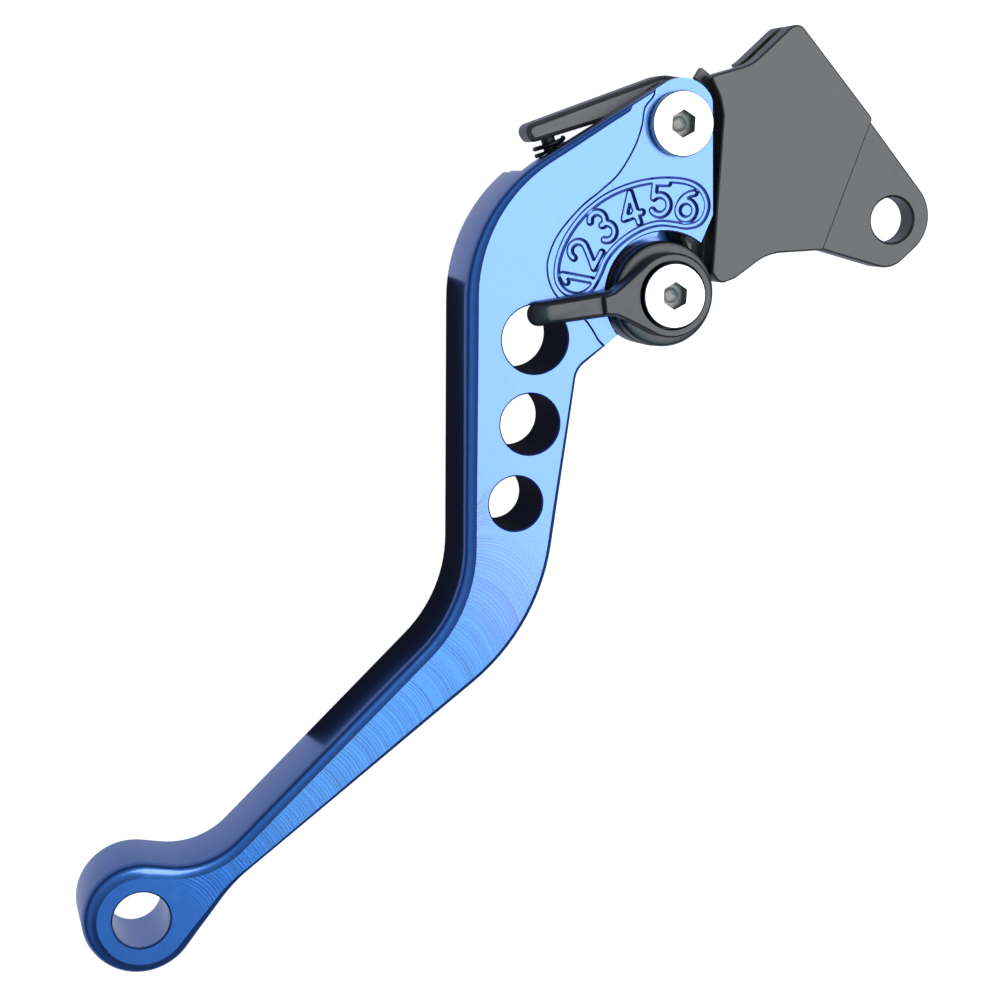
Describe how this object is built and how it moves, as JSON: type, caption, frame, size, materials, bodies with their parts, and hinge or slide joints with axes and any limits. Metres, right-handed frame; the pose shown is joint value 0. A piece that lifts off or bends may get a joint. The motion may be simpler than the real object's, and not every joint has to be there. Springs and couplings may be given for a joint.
{
  "type": "clutch lever",
  "caption": "Adjustable motorcycle clutch lever: drilled blade on a pivoting adapter, with a numbered reach dial and cam.",
  "frame": {"origin": "centre of the perch pivot bore in the adapter, half way through its tab", "axes": "+Z along the pivot bore, out of the numbered face; the ball end lies towards -X; the handlebar is on the -Y side"},
  "size_m": [0.1951, 0.0651, 0.0217],
  "materials": {
    "blade_blue": "machined and anodised bright blue, glossy, with fine curved cutter marks",
    "adapter_black": "machined and anodised black, satin",
    "dial_black": "machined and anodised black, satin",
    "stainless": "bright turned stainless steel",
    "bronze": "sintered bearing bronze",
    "nylon": "black nylon",
    "spring_steel": "black oxide spring wire"
  },
  "bodies": {
    "adapter": {"perch_adapter": "adapter_black", "pivot_bush": "bronze", "spring_guide_pin": "spring_steel", "return_spring": "spring_steel"},
    "blade": {"lever_blade": "blade_blue", "pivot_screw": "stainless", "pivot_sleeve": "stainless", "pivot_washer_top": "nylon", "pivot_washer_bottom": "nylon", "pivot_nut_washer": "stainless", "pivot_nut": "stainless", "adjuster_screw": "stainless", "adjuster_sleeve": "stainless", "adjuster_wave_washer": "stainless", "adjuster_cam_washer": "nylon", "adjuster_nut_washer": "stainless", "adjuster_nut": "stainless"},
    "dial": {"adjuster_dial": "dial_black", "adjuster_cam": "dial_black", "drive_pin_1": "stainless", "drive_pin_2": "stainless"}
  },
  "joints": [
    {"name": "blade_adjust", "type": "hinge", "parent": "adapter", "child": "blade", "pos_m": [-0.0209, 0.0394, -0.0021], "axis": [0, 0, 1], "range_deg": [-7.5, 0], "deforming": ["return_spring"]},
    {"name": "dial_turn", "type": "hinge", "parent": "blade", "child": "dial", "pos_m": [-0.0413, 0.019, -0.0021], "axis": [0, 0, 1], "range_deg": [-113.5, 0]}
  ],
  "couplings": [
    {"joint": "dial_turn", "follows": "blade_adjust", "ratio": 15.12}
  ]
}
